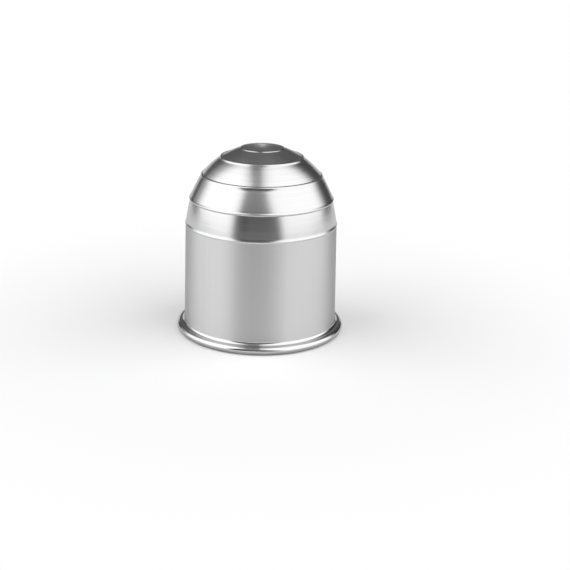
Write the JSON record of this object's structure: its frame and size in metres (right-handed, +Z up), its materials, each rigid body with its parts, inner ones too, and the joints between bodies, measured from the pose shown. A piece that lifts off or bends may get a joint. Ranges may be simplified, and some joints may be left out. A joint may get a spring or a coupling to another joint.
{
  "type": "tow ball cover",
  "caption": "Satin chrome cap that pushes over a tow ball: a stepped dome with beaded zones and a small button on the crown, a plain skirt and a flared round rim at the open mouth.",
  "frame": {"origin": "centre of the rim's foot, on the cover's axis", "axes": "+Z up the axis from the open mouth to the crown; the cover is round, so +X and +Y are alike"},
  "size_m": [0.0618, 0.0616, 0.0689],
  "materials": {
    "satin_chrome": "satin, with fine turned lines round the dome"
  },
  "bodies": {
    "root": {"cover_shell": "satin_chrome"}
  },
  "joints": []
}
